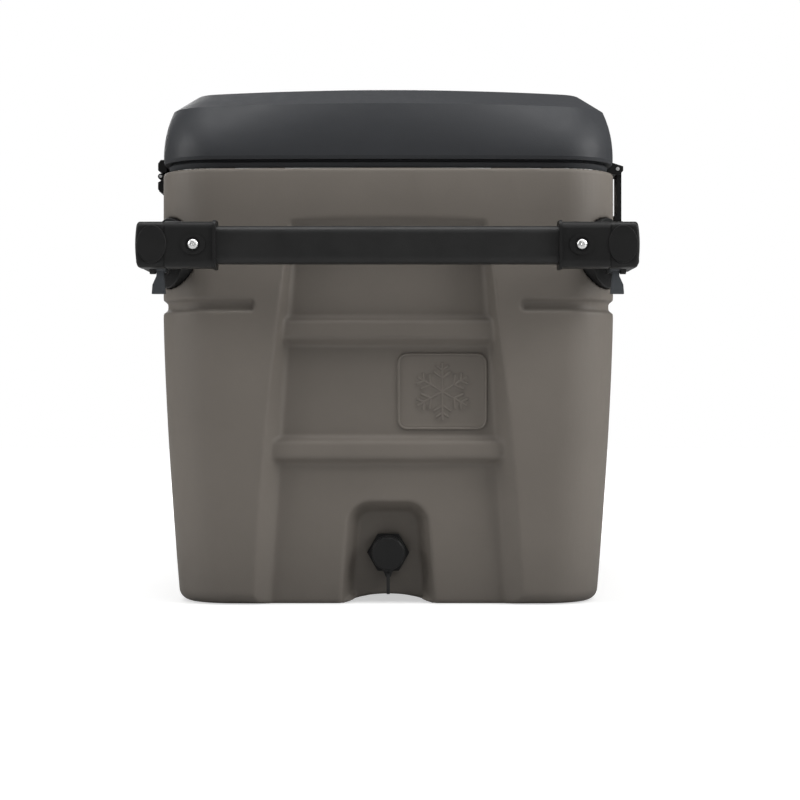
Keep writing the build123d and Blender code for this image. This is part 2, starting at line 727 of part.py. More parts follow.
def leaf_screws(y, upward):
    z = HINGE_Z + (12.5 if upward else -12.5)
    return [(HINGE_OUT_X, y + side * 16, z) for side in (-1, 1)]


def hinge_screws(upward):
    """Pan-head screws through a pair of leaves into the wall."""
    screws = []
    for y in HARDWARE_YS:
        for x, screw_y, z in leaf_screws(y, upward):
            head = rod_x(SCREW_HEAD_R, x + 0.3, x + 2.1, screw_y, z)
            shank = rod_x(SCREW_R, x + 2.0, x + 13.2, screw_y, z)
            slot = block(x, x + 1.0, screw_y - 0.5, screw_y + 0.5, z - 5, z + 5)
            screws.append(head + shank - slot)
    return group(*screws)


def make_hinge_pins():
    return group(
        *[
            rod_y(HINGE_PIN_R, y - HINGE_HALF_L - 1.5, y + HINGE_HALF_L + 1.5, HINGE_X, HINGE_Z)
            for y in HARDWARE_YS
        ]
    )


# --- Latches ------------------------------------------------------------------------------------
LATCH_HALF_W = 17.0
GRIP_HALF_W = 29.0
BRACKET_IN_X = 236.5
BRACKET_HALF_L = 28.0
BRACKET_UP = 7.5  # above the pin
LEDGE_X = 245.8
HOOK_X = 247.6
LEDGE_Z = 418.0
GRIP_Z = 394.0


def latch_bracket(y):
    """Base on the lid's edge, with two ears for the latch pin."""
    base = round_block(
        BRACKET_IN_X, BRACKET_IN_X + 6.5, y - BRACKET_HALF_L, y + BRACKET_HALF_L,
        LATCH_PIN_Z - 7, LATCH_PIN_Z + BRACKET_UP, 2, Axis.X,
    )
    ears = []
    for side in (-1, 1):
        y0 = y + side * (LATCH_HALF_W + 0.5)
        y1 = y + side * (LATCH_HALF_W + 5.5)
        points = [
            (242.0, LATCH_PIN_Z - 6),
            (LATCH_PIN_X + 2, LATCH_PIN_Z - 6),
            (LATCH_PIN_X + 6, LATCH_PIN_Z - 2),
            (LATCH_PIN_X + 6, LATCH_PIN_Z + 3),
            (242.0, LATCH_PIN_Z + BRACKET_UP),
        ]
        ears.append(prism_y(points, min(y0, y1), max(y0, y1)))
    bracket = base + ears[0] + ears[1]
    return bracket - rod_y(LATCH_PIN_R + 0.02, y - 30, y + 30, LATCH_PIN_X, LATCH_PIN_Z)


def latch_arm(y):
    """Pull-down latch: eye, strap, hook and a wide T grip."""
    strap_in, strap_out = LATCH_PIN_X, LATCH_PIN_X + 5.0
    eye = rod_y(LATCH_EYE_R, y - LATCH_HALF_W, y + LATCH_HALF_W, LATCH_PIN_X, LATCH_PIN_Z)
    strap_points = [
        (strap_in, LATCH_PIN_Z),
        (strap_in, LEDGE_Z - 1.0),
        (HOOK_X, LEDGE_Z - 1.5),
        (HOOK_X, LEDGE_Z - 6.0),
        (strap_in, LEDGE_Z - 9.0),
        (strap_in, GRIP_Z + 2),
        (strap_in + 1.5, GRIP_Z),
        (strap_out, GRIP_Z),
        (strap_out, LATCH_PIN_Z),
    ]
    strap = prism_y(strap_points, y - LATCH_HALF_W + 3, y + LATCH_HALF_W - 3)
    grip = block(strap_in, strap_out, y - GRIP_HALF_W, y + GRIP_HALF_W, GRIP_Z, GRIP_Z + 15)
    grip = fillet(grip.edges().filter_by(Axis.X), 6)
    arm = eye + strap + grip
    for i in (-1, 0, 1):
        rib_z = GRIP_Z + 7.5 + i * 4
        rib = rod_y(1.0, y - GRIP_HALF_W + 6, y + GRIP_HALF_W - 6, strap_out, rib_z)
        arm = arm + rib
    return arm - rod_y(LATCH_PIN_R + RUN_GAP, y - 30, y + 30, LATCH_PIN_X, LATCH_PIN_Z)


def latch_keeper(y):
    """Catch plate on the body, with the ledge the latch hooks under."""
    plate = round_block(PLATE_IN_X, 243.2, y - 24, y + 24, 398, 434, 4, Axis.X)
    ledge_points = [
        (242.5, LEDGE_Z),
        (LEDGE_X, LEDGE_Z),
        (LEDGE_X, LEDGE_Z + 2.5),
        (242.5, LEDGE_Z + 9),
    ]
    keeper = plate + prism_y(ledge_points, y - 13, y + 13)
    for screw_y, z in keeper_screws(y):
        keeper = keeper - rod_x(SCREW_R + 0.1, 230, 250, screw_y, z)
    return keeper


def keeper_screws(y):
    return [(y + side * 19, 429.0) for side in (-1, 1)]


def make_keeper_screws():
    screws = []
    for y in HARDWARE_YS:
        for screw_y, z in keeper_screws(y):
            head = rod_x(SCREW_HEAD_R, 243.4, 245.2, screw_y, z)
            shank = rod_x(SCREW_R, 237.4, 243.6, screw_y, z)
            slot = block(244.6, 246, screw_y - 4, screw_y + 4, z - 0.5, z + 0.5)
            screws.append(fillet(head.edges().group_by(Axis.X)[-1], 0.8) + shank - slot)
    return group(*screws)


def make_latch_pins():
    reach = LATCH_HALF_W + 6.5
    return group(
        *[rod_y(LATCH_PIN_R, y - reach, y + reach, LATCH_PIN_X, LATCH_PIN_Z) for y in HARDWARE_YS]
    )


# --- Drain ---------------------------------------------------------------------------------------
DRAIN_TUBE_R = 13.0
DRAIN_BORE_R = 9.5
DRAIN_FACE_Y = FRONT_Y + DRAIN_WELL_DEPTH
HEX_FLATS = 39.0
CAP_R = 17.3


def hex_prism(flats, y0, y1):
    corner = flats / 2 / cos(radians(30))
    points = [
        (corner * cos(radians(60 * i)), DRAIN_Z + corner * sin(radians(60 * i)))
        for i in range(6)
    ]
    return prism_y(points, y0, y1)


def make_drain_fitting():
    """Bulkhead fitting: hex flange outside, spout ahead of it, thread through the wall."""
    flange_back = DRAIN_FACE_Y - 2.0
    flange = hex_prism(HEX_FLATS, flange_back - 6, flange_back)
    flange = flange.chamfer(1.2, None, flange.edges().group_by(Axis.Y)[0])
    barrel = rod_y(DRAIN_TUBE_R, flange_back - 18, tub_front_at_drain() + 9.5, 0, DRAIN_Z)
    lug = round_block(-3, 3, flange_back - 4, flange_back, DRAIN_Z - 26, DRAIN_Z - 15, 1.2, Axis.Y)
    fitting = flange + barrel + lug
    return fitting - rod_y(DRAIN_BORE_R, FRONT_Y, FRONT_Y + 200, 0, DRAIN_Z)


def tub_front_at_drain():
    share = (DRAIN_Z - TUB_FLOOR_Z) / (RIM_Z - TUB_FLOOR_Z)
    return FRONT_Y + TUB_FRONT_WALL + TUB_END_DRAFT * (1 - share)


def washer_y(outer_r, inner_r, y0, y1):
    ring = rod_y(outer_r, y0, y1, 0, DRAIN_Z)
    return ring - rod_y(inner_r, y0 - 1, y1 + 1, 0, DRAIN_Z)


def make_drain_seal():
    return washer_y(16.5, DRAIN_TUBE_R + 0.1, DRAIN_FACE_Y - 1.9, DRAIN_FACE_Y - 0.1)


def make_drain_nut():
    start = tub_front_at_drain() + 0.9
    nut = rod_y(18.5, start, start + 7, 0, DRAIN_Z)
    for i in range(6):
        angle = radians(60 * i + 30)
        flute = rod_y(3.0, start + 1.5, start + 9, 20 * cos(angle), DRAIN_Z + 20 * sin(angle))
        nut = nut - flute
    return nut - rod_y(DRAIN_TUBE_R + RUN_GAP, start - 1, start + 9, 0, DRAIN_Z)


CAP_BACK_Y = DRAIN_FACE_Y - 9.0
CAP_FRONT_Y = CAP_BACK_Y - 15.0


def make_drain_cap():
    """Screw cap: a skirt over the spout, with a groove that carries the tether ring."""
    cap = rod_y(CAP_R, CAP_FRONT_Y, CAP_BACK_Y, 0, DRAIN_Z)
    cap = fillet(cap.edges().group_by(Axis.Y)[0], 1.8)
    cap = cap - rod_y(DRAIN_TUBE_R + 0.3, CAP_FRONT_Y + 3, CAP_BACK_Y + 1, 0, DRAIN_Z)
    neck_y0, neck_y1 = CAP_BACK_Y - 4.5, CAP_BACK_Y - 1.0
    return cap - washer_y(CAP_R + 1, CAP_R - 1.8, neck_y0, neck_y1)


def make_tether_ring():
    """Loose ring in the cap's groove, with the eyelet that holds the tether."""
    y0, y1 = CAP_BACK_Y - 4.2, CAP_BACK_Y - 1.3
    ring = washer_y(CAP_R + 1.2, CAP_R - 1.5, y0, y1)
    points = [(-6, DRAIN_Z - 17.0), (6, DRAIN_Z - 17.0), (2.6, DRAIN_Z - 25), (-2.6, DRAIN_Z - 25)]
    eyelet = prism_y(points, y0, y1) - washer_y(CAP_R - 1.5, 1, y0 - 1, y1 + 1)
    return ring + eyelet - rod_y(1.3, y0 - 1, y1 + 1, 0, DRAIN_Z - 21.5)


def make_tether():
    """Flexible strap that hangs in a loop from the cap's eyelet to the fitting's lug."""
    front_y, back_y = CAP_BACK_Y - 5.3, DRAIN_FACE_Y - 8.5
    top_z, low_z = DRAIN_Z - 21.0, DRAIN_Z - 43.0
    path = Spline(
        (0, front_y, top_z),
        (0, front_y - 1.0, (top_z + low_z) / 2),
        (0, (front_y + back_y) / 2, low_z),
        (0, back_y + 1.0, (top_z + low_z) / 2),
        (0, back_y, top_z),
    )
    section = Plane(origin=path @ 0, z_dir=path % 0) * Rectangle(1.8, 3.4)
    return sweep(section, path=path)


# --- Wheels ----------------------------------------------------------------------------------------
def ring_x(outer_r, inner_r, x0, x1):
    """Ring round the axle."""
    outer = rod_x(outer_r, x0, x1, WHEEL_Y, WHEEL_R)
    return outer - rod_x(inner_r, min(x0, x1) - 1, max(x0, x1) + 1, WHEEL_Y, WHEEL_R)


TYRE_IN_R = 78.0


def make_tyre():
    tyre = rod_x(WHEEL_R, WHEEL_IN_X, WHEEL_OUT_X, WHEEL_Y, WHEEL_R)
    tyre = fillet(tyre.edges().filter_by(GeomType.CIRCLE), 9)
    tyre = tyre - rod_x(TYRE_IN_R, WHEEL_IN_X - 1, WHEEL_OUT_X + 1, WHEEL_Y, WHEEL_R)
    middle = (WHEEL_IN_X + WHEEL_OUT_X) / 2
    for offset in (-9, 9):
        tyre = tyre - ring_x(WHEEL_R + 5, WHEEL_R - 3, middle + offset - 2, middle + offset + 2)
    return tyre


def make_rim():
    """Spoked rim with a long hub."""
    rim = ring_x(TYRE_IN_R - 0.1, 66, WHEEL_IN_X + 3, WHEEL_OUT_X - 3)
    rim = rim + ring_x(19, 9.0, WHEEL_IN_X, WHEEL_OUT_X - 6)
    web = ring_x(70, 15, WHEEL_IN_X + 20, WHEEL_OUT_X - 12)
    for i in range(6):
        turn = Rot(60 * i + 30, 0, 0)
        window = Pos(0, 0, 43) * Rot(0, 90, 0) * Cylinder(15, 300)
        web = web - Pos(0, WHEEL_Y, WHEEL_R) * turn * window
    return rim + web


def make_bush():
    return ring_x(8.95, AXLE_R + RUN_GAP, WHEEL_IN_X + 0.1, WHEEL_OUT_X - 6)


def make_hub_cap():
    cap = rod_x(18.5, WHEEL_OUT_X - 5.8, WHEEL_OUT_X + 1.5, WHEEL_Y, WHEEL_R)
    cap = fillet(cap.edges().group_by(Axis.X)[-1], 4)
    return cap - rod_x(14, WHEEL_OUT_X - 8, WHEEL_OUT_X - 0.7, WHEEL_Y, WHEEL_R)


def make_axle():
    reach = WHEEL_OUT_X - 1.5
    axle = rod_x(AXLE_R, -reach, reach, WHEEL_Y, WHEEL_R)
    return axle.chamfer(0.8, None, axle.edges().filter_by(GeomType.CIRCLE))


def make_axle_clips():
    clip = ring_x(12, AXLE_R + 0.02, WHEEL_OUT_X - 5.6, WHEEL_OUT_X - 3.6)
    return both(clip)


def make_axle_washers():
    return both(ring_x(14, AXLE_R + 0.1, WELL_WALL_X + 0.3, WHEEL_IN_X - 0.4))


# --- Handle ------------------------------------------------------------------------------------------
def tube_section(half_d, half_h, radius, x):
    plane = Plane(origin=(x, TUBE_Y, HANDLE_Z), x_dir=(0, 1, 0), z_dir=(1, 0, 0))
    return plane * RectangleRounded(2 * half_d, 2 * half_h, radius)


def make_handle_tube():
    length = 2 * TUBE_END_X
    outer = extrude(tube_section(TUBE_HALF_D, TUBE_HALF_H, 8, -TUBE_END_X), amount=length)
    bore = tube_section(TUBE_HALF_D - TUBE_WALL, TUBE_HALF_H - TUBE_WALL, 6, -TUBE_END_X - 1)
    return outer - extrude(bore, amount=length + 2) - rivet_holes(RIVET_R + 0.1)


def rivet_holes(radius):
    return group(
        *[rod_y(radius, TUBE_Y - 40, TUBE_Y + 40, side * RIVET_X, HANDLE_Z) for side in (-1, 1)]
    )


CASTING_SWELL = 2.0  # how far the sleeve's outer end swells at mid height
SLEEVE_OUT_X = 251.2
SEAM_X = 221.6


def make_casting():
    """Right corner casting: a sleeve for the cross tube and a leg towards the pivot."""
    front = TUBE_Y - SLEEVE_HALF_D
    sleeve = extrude(
        tube_section(SLEEVE_HALF_D, SLEEVE_HALF_H, 7, SLEEVE_IN_X),
        amount=SLEEVE_OUT_X - SLEEVE_IN_X,
    )
    end_radius = (SLEEVE_HALF_H**2 + CASTING_SWELL**2) / (2 * CASTING_SWELL)
    end = rod_y(end_radius, front, TUBE_Y + SLEEVE_HALF_D, SLEEVE_OUT_X - end_radius, HANDLE_Z)
    sleeve = sleeve & (end + block(SLEEVE_IN_X, SEAM_X, front, -front, 300, 440))
    sleeve = fillet(sleeve.faces().sort_by(Axis.X)[-1].edges(), 3)
    seam = extrude(tube_section(30, 40, 7, SEAM_X), amount=1.2)
    seam = seam - extrude(
        tube_section(SLEEVE_HALF_D - 0.7, SLEEVE_HALF_H - 0.7, 6.5, SEAM_X - 1), amount=4
    )
    lip = extrude(
        tube_section(SLEEVE_HALF_D + SLEEVE_LIP, SLEEVE_HALF_H + SLEEVE_LIP, 8, SLEEVE_IN_X),
        amount=3,
    )
    leg = round_block(
        LEG_IN_X, CASTING_OUT_X, TUBE_Y + 6, LEG_BACK_Y,
        HANDLE_Z - LEG_HALF_H, HANDLE_Z + LEG_HALF_H, 5, Axis.Y,
    )
    leg = leg - block(LEG_IN_X - 1, 300, TUBE_Y, TUBE_Y + SLEEVE_HALF_D - 2, 300, 440)
    boss = Plane(origin=(RIVET_X, front + 0.5, HANDLE_Z), x_dir=(1, 0, 0), z_dir=(0, -1, 0))
    oval = extrude(boss * Ellipse(12.5, 10.5), amount=1.4)
    casting = sleeve - seam + lip + leg + oval
    casting = casting - extrude(
        tube_section(TUBE_HALF_D + 0.15, TUBE_HALF_H + 0.15, 8, SLEEVE_IN_X - 1),
        amount=TUBE_END_X + 1 - SLEEVE_IN_X + 1,
    )
    dish = rod_y(RIVET_HEAD_R + 2.2, front - 3, front, RIVET_X, HANDLE_Z)
    socket = block(
        ARM_IN_X - 0.1, ARM_OUT_X + 0.1, LEG_BACK_Y - ARM_SOCKET, LEG_BACK_Y + 1,
        HANDLE_Z - ARM_HALF_H - 0.1, HANDLE_Z + ARM_HALF_H + 0.1,
    )
    casting = casting - dish - socket - rivet_holes(RIVET_R + 0.1)
    return casting - corner_plug(0.15)


PLUG_X = 234.5
PLUG_HALF_W, PLUG_HALF_H, PLUG_T, PLUG_PROUD = 14.5, 19.0, 6.0, 0.9


def corner_plug(grow):
    """Oval plug in the casting's front face."""
    front = TUBE_Y - SLEEVE_HALF_D
    plane = Plane(origin=(PLUG_X, front - PLUG_PROUD, HANDLE_Z), x_dir=(1, 0, 0), z_dir=(0, -1, 0))
    plug = extrude(plane * Ellipse(PLUG_HALF_W + grow, PLUG_HALF_H + grow), amount=-PLUG_T - grow)
    if grow == 0:
        plug = fillet(plug.edges().group_by(Axis.Y)[0], 0.7)
    return plug


def make_arm():
    """Right side arm: a flat bar that slides through the pivot guide."""
    arm = block(
        ARM_IN_X, ARM_OUT_X, LEG_BACK_Y - ARM_SOCKET + 0.2, HUB_Y + ARM_TAIL,
        HANDLE_Z - ARM_HALF_H, HANDLE_Z + ARM_HALF_H,
    )
    tail = arm.edges().filter_by(Axis.X).group_by(Axis.Y)[-1]
    arm = fillet(tail, 10)
    return fillet(arm.faces().sort_by(Axis.X)[-1].edges(), 1.2)


def make_rivets():
    rivets = []
    for side in (-1, 1):
        shank = rod_y(RIVET_R, TUBE_Y - 16, TUBE_Y + 17, side * RIVET_X, HANDLE_Z)
        for out in (-1, 1):
            face_y = TUBE_Y + out * (SLEEVE_HALF_D + 0.01)
            tip_y = TUBE_Y + out * (SLEEVE_HALF_D + RIVET_HEAD_H)
            head = rod_y(RIVET_HEAD_R, face_y, tip_y, side * RIVET_X, HANDLE_Z)
            rim = head.edges().group_by(Axis.Y)[0 if out < 0 else -1]
            shank = shank + fillet(rim, 2.4)
        rivets.append(shank)
    return group(*rivets)


HUB_SCREW_ANGLES = (40, 90, 200)  # round the disc from the top, clear of the guide
BOSS_R = 18.0
STUB_END_X = 223.6
BOSS_BACK_X = 227.0


def make_hub_base():
    """Right pivot housing: a disc set into the rounded corner, with a boss along X."""
    disc = hub_disc(HUB_R, -HUB_SEAT, HUB_PROUD)
    disc = fillet(disc.edges().filter_by(GeomType.CIRCLE).sort_by(Axis.X)[-1], 1.5)
    boss = rod_x(BOSS_R, HUB_X, HUB_OUT_X, HUB_Y, HANDLE_Z)
    base = disc + boss - block(HUB_OUT_X, 300, HUB_Y - 80, HUB_Y + 80, 300, 440)
    base = base - rod_x(STUB_R + RUN_GAP, 200, 300, HUB_Y, HANDLE_Z)
    base = base - rod_x(15.5, 200, BOSS_BACK_X, HUB_Y, HANDLE_Z)
    for angle in HUB_SCREW_ANGLES:
        base = base - hub_screw_rod(SCREW_R + 0.1, angle, -20, 20)
        base = base - hub_screw_rod(SCREW_HEAD_R + 0.2, angle, HUB_PROUD - 3.2, 20)
    return base


def hub_screw_rod(radius, angle, back, front):
    """Cylinder along the tilted axis, at a screw place on the housing's disc."""
    normal = (cos(radians(HUB_TILT)), -sin(radians(HUB_TILT)), 0)
    seat = Plane(origin=(HUB_X, HUB_Y, HANDLE_Z), x_dir=(0, 0, 1), z_dir=normal)
    reach = HUB_R - 8.5
    spot = Pos(reach * cos(radians(angle)), reach * sin(radians(angle)), 0)
    return extrude(seat.offset(back) * spot * Circle(radius), amount=front - back)


def make_hub_screws():
    screws = []
    for angle in HUB_SCREW_ANGLES:
        head = hub_screw_rod(SCREW_HEAD_R, angle, HUB_PROUD - 3.0, HUB_PROUD - 0.6)
        socket = hub_screw_rod(1.6, angle, HUB_PROUD - 2.0, HUB_PROUD)
        shank = hub_screw_rod(SCREW_R, angle, -HUB_SEAT - 3.5, HUB_PROUD - 2.9)
        screws.append(head - socket + shank)
    return both(group(*screws))


GUIDE_IN_X = HUB_OUT_X + 0.4
GUIDE_OUT_X = 256.0
GUIDE_HALF_H = 18.5
EAR_XS = ((225.8, 228.4), (240.0, 245.6))


def make_guide():
    """Right pivot guide: turns on the housing, carries the arm and the lock lever."""
    guide = block(
        GUIDE_IN_X, GUIDE_OUT_X, HUB_Y - 50, HUB_Y + 26,
        HANDLE_Z - GUIDE_HALF_H, HANDLE_Z + GUIDE_HALF_H,
    )
    guide = fillet(guide.edges().filter_by(Axis.X), 9)
    guide = fillet(guide.faces().sort_by(Axis.X)[-1].edges(), 1.2)
    guide = guide + rod_x(STUB_R, STUB_END_X, GUIDE_IN_X + 1, HUB_Y, HANDLE_Z)
    ear_y0, ear_y1 = LEVER_Y - 7, LEVER_Y + 6
    shelf = block(EAR_XS[0][0], GUIDE_IN_X + 4, ear_y0, ear_y1, LEVER_Z + 6, LEVER_Z + 12)
    guide = guide + shelf
    for x0, x1 in EAR_XS:
        ear = block(x0, x1, ear_y0, ear_y1, LEVER_Z - 6, LEVER_Z + 8)
        lower = ear.edges().filter_by(Axis.X).group_by(Axis.Z)[0]
        guide = guide + fillet(lower, 5)
    channel = block(
        ARM_IN_X - 0.15, ARM_OUT_X + 0.15, HUB_Y - 60, HUB_Y + 40,
        HANDLE_Z - ARM_HALF_H - 0.15, HANDLE_Z + ARM_HALF_H + 0.15,
    )
    guide = guide - channel
    guide = guide - stub_ring(STUB_R + 1, STUB_R - 1, 0.15)
    return guide - rod_x(1.5, 220, 252, LEVER_Y, LEVER_Z)


def stub_ring(outer_r, inner_r, play):
    """Ring round the pivot stub, just behind the housing's boss."""
    x0, x1 = BOSS_BACK_X - 1.5 - play, BOSS_BACK_X - 0.4 + play
    outer = rod_x(outer_r, x0, x1, HUB_Y, HANDLE_Z)
    return outer - rod_x(inner_r, x0 - 1, x1 + 1, HUB_Y, HANDLE_Z)


def make_retaining_rings():
    ring = stub_ring(14.0, STUB_R - 0.9, 0)
    gap = block(200, 240, HUB_Y - 3, HUB_Y + 3, HANDLE_Z - 20, HANDLE_Z)
    return both(ring - gap)


def make_lever():
    """Right lock lever: a flared paddle that hangs below the arm."""
    eye = rod_x(5, EAR_XS[0][1] + 0.2, EAR_XS[1][0] - 0.3, LEVER_Y, LEVER_Z)
    low_z = LEVER_Z - 26.5
    points = [
        (231.2, LEVER_Z),
        (231.2, LEVER_Z - 9),
        (229.6, low_z),
        (243.7, low_z),
        (242.9, LEVER_Z - 17),
        (238.8, LEVER_Z - 8),
        (238.8, LEVER_Z),
    ]
    paddle = prism_y(points, LEVER_Y - 4, LEVER_Y + 3)
    return eye + paddle - rod_x(1.5 + RUN_GAP, 220, 252, LEVER_Y, LEVER_Z)


def make_lever_pins():
    return both(rod_x(1.48, EAR_XS[0][0] + 0.3, EAR_XS[1][1] - 0.3, LEVER_Y, LEVER_Z))


# --- Everything, node by node ---------------------------------------------------------------------------
def main():
    os.makedirs("parts", exist_ok=True)
    save("outer_shell", make_outer_shell())
    save("insulation_body", make_foam())
    save("inner_liner", make_liner())
    save("lid_shell", make_lid_shell())
    save("insulation_lid", make_lid_foam())
    save("lid_liner", make_lid_liner())
    save("lid_gasket", gasket_ring(0, 0))
    save("hinge_body_leaves", group(*[hinge_leaf(y, False) for y in HARDWARE_YS]))
    save("hinge_lid_leaves", group(*[hinge_leaf(y, True) for y in HARDWARE_YS]))
    save("hinge_pins", make_hinge_pins())
    save("hinge_body_screws", hinge_screws(False))
    save("hinge_lid_screws", hinge_screws(True))
    save("latch_brackets", group(*[latch_bracket(y) for y in HARDWARE_YS]))
    save("latch_pins", make_latch_pins())
    save("latch_front", latch_arm(HARDWARE_YS[0]))
    save("latch_rear", latch_arm(HARDWARE_YS[1]))
    save("latch_keepers", group(*[latch_keeper(y) for y in HARDWARE_YS]))
    save("keeper_screws", make_keeper_screws())
    save("drain_fitting", make_drain_fitting())
    save("drain_seal", make_drain_seal())
    save("drain_nut", make_drain_nut())
    save("drain_cap", make_drain_cap())
    save("drain_tether_ring", make_tether_ring())
    save("drain_tether", make_tether())
    save("axle", make_axle())
    save("axle_clips", make_axle_clips())
    save("axle_washers", make_axle_washers())
    save("handle_tube", make_handle_tube())
    save("handle_rivets", make_rivets())
    save("hub_screws", make_hub_screws())
    save("pivot_retaining_rings", make_retaining_rings())
    save("lock_lever_pins", make_lever_pins())
    right_pieces = {
        "wheel_tyre": make_tyre(),
        "wheel_rim": make_rim(),
        "wheel_bush": make_bush(),
        "wheel_cap": make_hub_cap(),
        "handle_corner": make_casting(),
        "handle_corner_plug": corner_plug(0),
        "handle_arm": make_arm(),
        "pivot_housing": make_hub_base(),
        "pivot_guide": make_guide(),
        "lock_lever": make_lever(),
    }
    for name, piece in right_pieces.items():
        save(name + "_right", piece)
        save(name + "_left", left_of(piece))


main()
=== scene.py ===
import json
import math

import bpy
import numpy as np
from mathutils import Matrix, Vector


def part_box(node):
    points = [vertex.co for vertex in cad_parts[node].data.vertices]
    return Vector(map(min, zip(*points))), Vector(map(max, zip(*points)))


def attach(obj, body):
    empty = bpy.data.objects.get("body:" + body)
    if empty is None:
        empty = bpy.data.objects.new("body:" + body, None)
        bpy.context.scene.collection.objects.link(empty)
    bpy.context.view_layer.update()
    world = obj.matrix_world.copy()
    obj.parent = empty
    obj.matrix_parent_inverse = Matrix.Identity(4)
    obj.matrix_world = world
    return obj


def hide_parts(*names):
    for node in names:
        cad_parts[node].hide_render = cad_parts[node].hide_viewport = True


# A wheeled cooler chest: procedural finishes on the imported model, a studio and a camera.
# Metres, +Z up; the drain end faces -Y.

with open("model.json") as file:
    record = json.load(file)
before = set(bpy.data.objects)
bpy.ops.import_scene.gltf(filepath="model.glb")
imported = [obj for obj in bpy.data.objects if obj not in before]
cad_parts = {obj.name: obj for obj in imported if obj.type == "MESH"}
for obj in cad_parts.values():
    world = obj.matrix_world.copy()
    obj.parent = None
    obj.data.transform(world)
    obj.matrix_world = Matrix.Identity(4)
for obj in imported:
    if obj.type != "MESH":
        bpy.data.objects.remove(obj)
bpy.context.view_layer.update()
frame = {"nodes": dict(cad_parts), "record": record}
nodes = frame["nodes"]


def link_object(name, data):
    """A new object in the scene that shows this mesh, curve, light or camera."""
    made = bpy.data.objects.new(name, data)
    bpy.context.scene.collection.objects.link(made)
    return made


# --- Node graph helpers ---------------------------------------------------------------------
NOISE_MIDDLE = (0.3, 0.7)  # the range that most of a noise's values fall in
BUMP_STRENGTH = 0.3
# Painted shade in recesses: the occlusion node's reach and samples, the occlusion range it
# maps, and the darkest share of the colour.
PAINTED_SHADE_REACH = 0.11
PAINTED_SHADE_DARKEST = 0.65
PAINTED_SHADE_SAMPLES = 8
SHADED_AO, UNSHADED_AO = 0.35, 0.95


class Graph:
    """Short calls for building one material's node tree."""

    def __init__(self, name):
        self.material = bpy.data.materials.new(name)
        self.material.use_nodes = True
        self.tree = self.material.node_tree
        self.shader = self.tree.nodes["Principled BSDF"]
        self.coords = self.tree.nodes.new("ShaderNodeTexCoord")

    def node(self, kind, **settings):
        made = self.tree.nodes.new(kind)
        for key, value in settings.items():
            setattr(made, key, value)
        return made

    def link(self, output, target):
        self.tree.links.new(output, target)

    def set(self, socket, value):
        """Gives one of the shader's inputs a plain value."""
        self.shader.inputs[socket].default_value = value

    def drive(self, socket, output):
        """Drives one of the shader's inputs from a node."""
        self.link(output, self.shader.inputs[socket])

    def noise(self, scale, detail=4.0, roughness=0.55):
        """Noise in the object's own metres, so it has the same grain on every piece."""
        made = self.node("ShaderNodeTexNoise")
        made.inputs["Scale"].default_value = scale
        made.inputs["Detail"].default_value = detail
        made.inputs["Roughness"].default_value = roughness
        self.link(self.coords.outputs["Object"], made.inputs["Vector"])
        return made.outputs["Fac"]

    def remap(self, value, source, target):
        """Maps the range source onto the range target, and clamps."""
        made = self.node("ShaderNodeMapRange")
        made.inputs["From Min"].default_value, made.inputs["From Max"].default_value = source
        made.inputs["To Min"].default_value, made.inputs["To Max"].default_value = target
        self.link(value, made.inputs["Value"])
        return made.outputs["Result"]

    def spread(self, value, low, high):
        """Maps the middle of a noise's range onto low..high."""
        return self.remap(value, NOISE_MIDDLE, (low, high))

    def mix(self, factor, first, second):
        made = self.node("ShaderNodeMix", data_type="RGBA")
        made.inputs["A"].default_value = (*first, 1)
        made.inputs["B"].default_value = (*second, 1)
        self.link(factor, made.inputs["Factor"])
        return made.outputs["Result"]

    def tone(self, colour, grain, dark, light):
        """The colour, varying from dark to light times itself with the grain."""
        share = self.spread(grain, 0.0, 1.0)
        return self.mix(share, shade(colour, dark), shade(colour, light))

    def with_painted_shade(self, colour):
        """The colour, darker in recesses: painted shade from an ambient occlusion node."""
        shelter = self.node("ShaderNodeAmbientOcclusion", samples=PAINTED_SHADE_SAMPLES)
        shelter.inputs["Distance"].default_value = PAINTED_SHADE_REACH
        self.link(colour, shelter.inputs["Color"])
        share = self.remap(shelter.outputs["AO"], (SHADED_AO, UNSHADED_AO), (PAINTED_SHADE_DARKEST, 1.0))
        scaled = self.node("ShaderNodeVectorMath", operation="SCALE")
        self.link(colour, scaled.inputs[0])
        self.link(share, scaled.inputs["Scale"])
        return scaled.outputs["Vector"]

    def bump(self, heights):
        """Adds bumps from (height output, depth in metres) pairs."""
        normal = None
        for height, depth in heights:
            made = self.node("ShaderNodeBump")
            made.inputs["Strength"].default_value = BUMP_STRENGTH
            made.inputs["Distance"].default_value = depth
            self.link(height, made.inputs["Height"])
            if normal is not None:
                self.link(normal, made.inputs["Normal"])
            normal = made.outputs["Normal"]
        self.drive("Normal", normal)


def shade(colour, factor):
    return tuple(channel * factor for channel in colour)


# --- Materials ------------------------------------------------------------------------------
def moulded_plastic(name, colour, roughness, grain, grain_depth, variation, shine):
    """Matt moulded plastic: fine leather grain, faint mottling, scuffs, and painted shade in
    recesses.
    """
    graph = Graph(name)
    mottle = graph.noise(scale=9.0, detail=5.0)
    base = graph.tone(colour, mottle, 1 - variation, 1 + variation)
    # Painted shade: the base colour is darkened in recesses and between parts.
    graph.drive("Base Color", graph.with_painted_shade(base))
    scuffs = graph.noise(scale=38.0, detail=6.0, roughness=0.65)
    graph.drive("Roughness", graph.spread(scuffs, roughness - 0.07, roughness + 0.07))
    fine = graph.noise(scale=grain, detail=2.0)
    ripple = graph.noise(scale=14.0, detail=2.0)
    ripple_depth = 0.0006
    graph.bump([(ripple, ripple_depth), (fine, grain_depth)])
    graph.set("Specular IOR Level", shine)
    return graph.material


